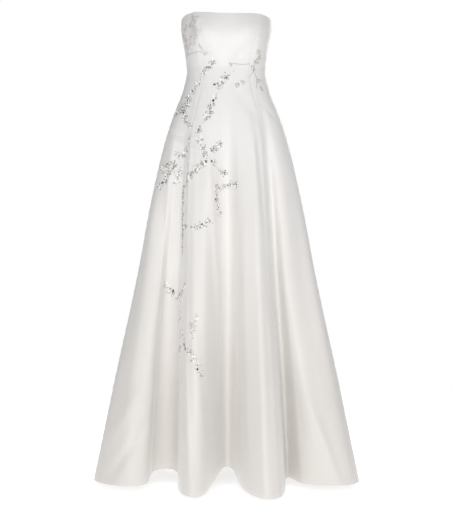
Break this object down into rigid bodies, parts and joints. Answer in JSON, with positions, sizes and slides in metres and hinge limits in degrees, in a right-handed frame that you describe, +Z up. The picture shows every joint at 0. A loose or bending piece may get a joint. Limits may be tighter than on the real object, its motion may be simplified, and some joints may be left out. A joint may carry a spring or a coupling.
{
  "type": "wedding dress",
  "caption": "Strapless floor-length satin wedding dress with princess seams, a flared skirt in deep folds and a zip at the centre back.",
  "frame": {"origin": "middle of the wearer's waist, on the waist's own level, where the fitted bodice is held", "axes": "+Z up, the front faces -Y, +X towards the wearer's left side"},
  "size_m": [0.7912, 0.5487, 1.3865],
  "materials": {
    "satin": "smooth with a soft sheen",
    "zip_tape": "matt woven",
    "zip_metal": "ivory enamel, satin",
    "crystal": "faceted, foiled at the back",
    "bead": "polished silver",
    "thread": "satin stitch"
  },
  "bodies": {
    "dress": {"front_centre_panel": "satin", "front_side_panel_left": "satin", "front_side_panel_right": "satin", "back_side_panel_right": "satin", "back_centre_panel_right": "satin", "back_centre_panel_left": "satin", "back_side_panel_left": "satin", "zip_tape_left": "zip_tape", "zip_tape_right": "zip_tape", "zip_slider": "zip_metal"},
    "pull_tab": {"zip_pull_tab": "zip_metal"}
  },
  "joints": [
    {"name": "pull_tab_swing", "type": "hinge", "parent": "dress", "child": "pull_tab", "pos_m": [0, 0.10453, 0.143], "axis": [1, 0, 0], "range_deg": [0, 150]}
  ]
}
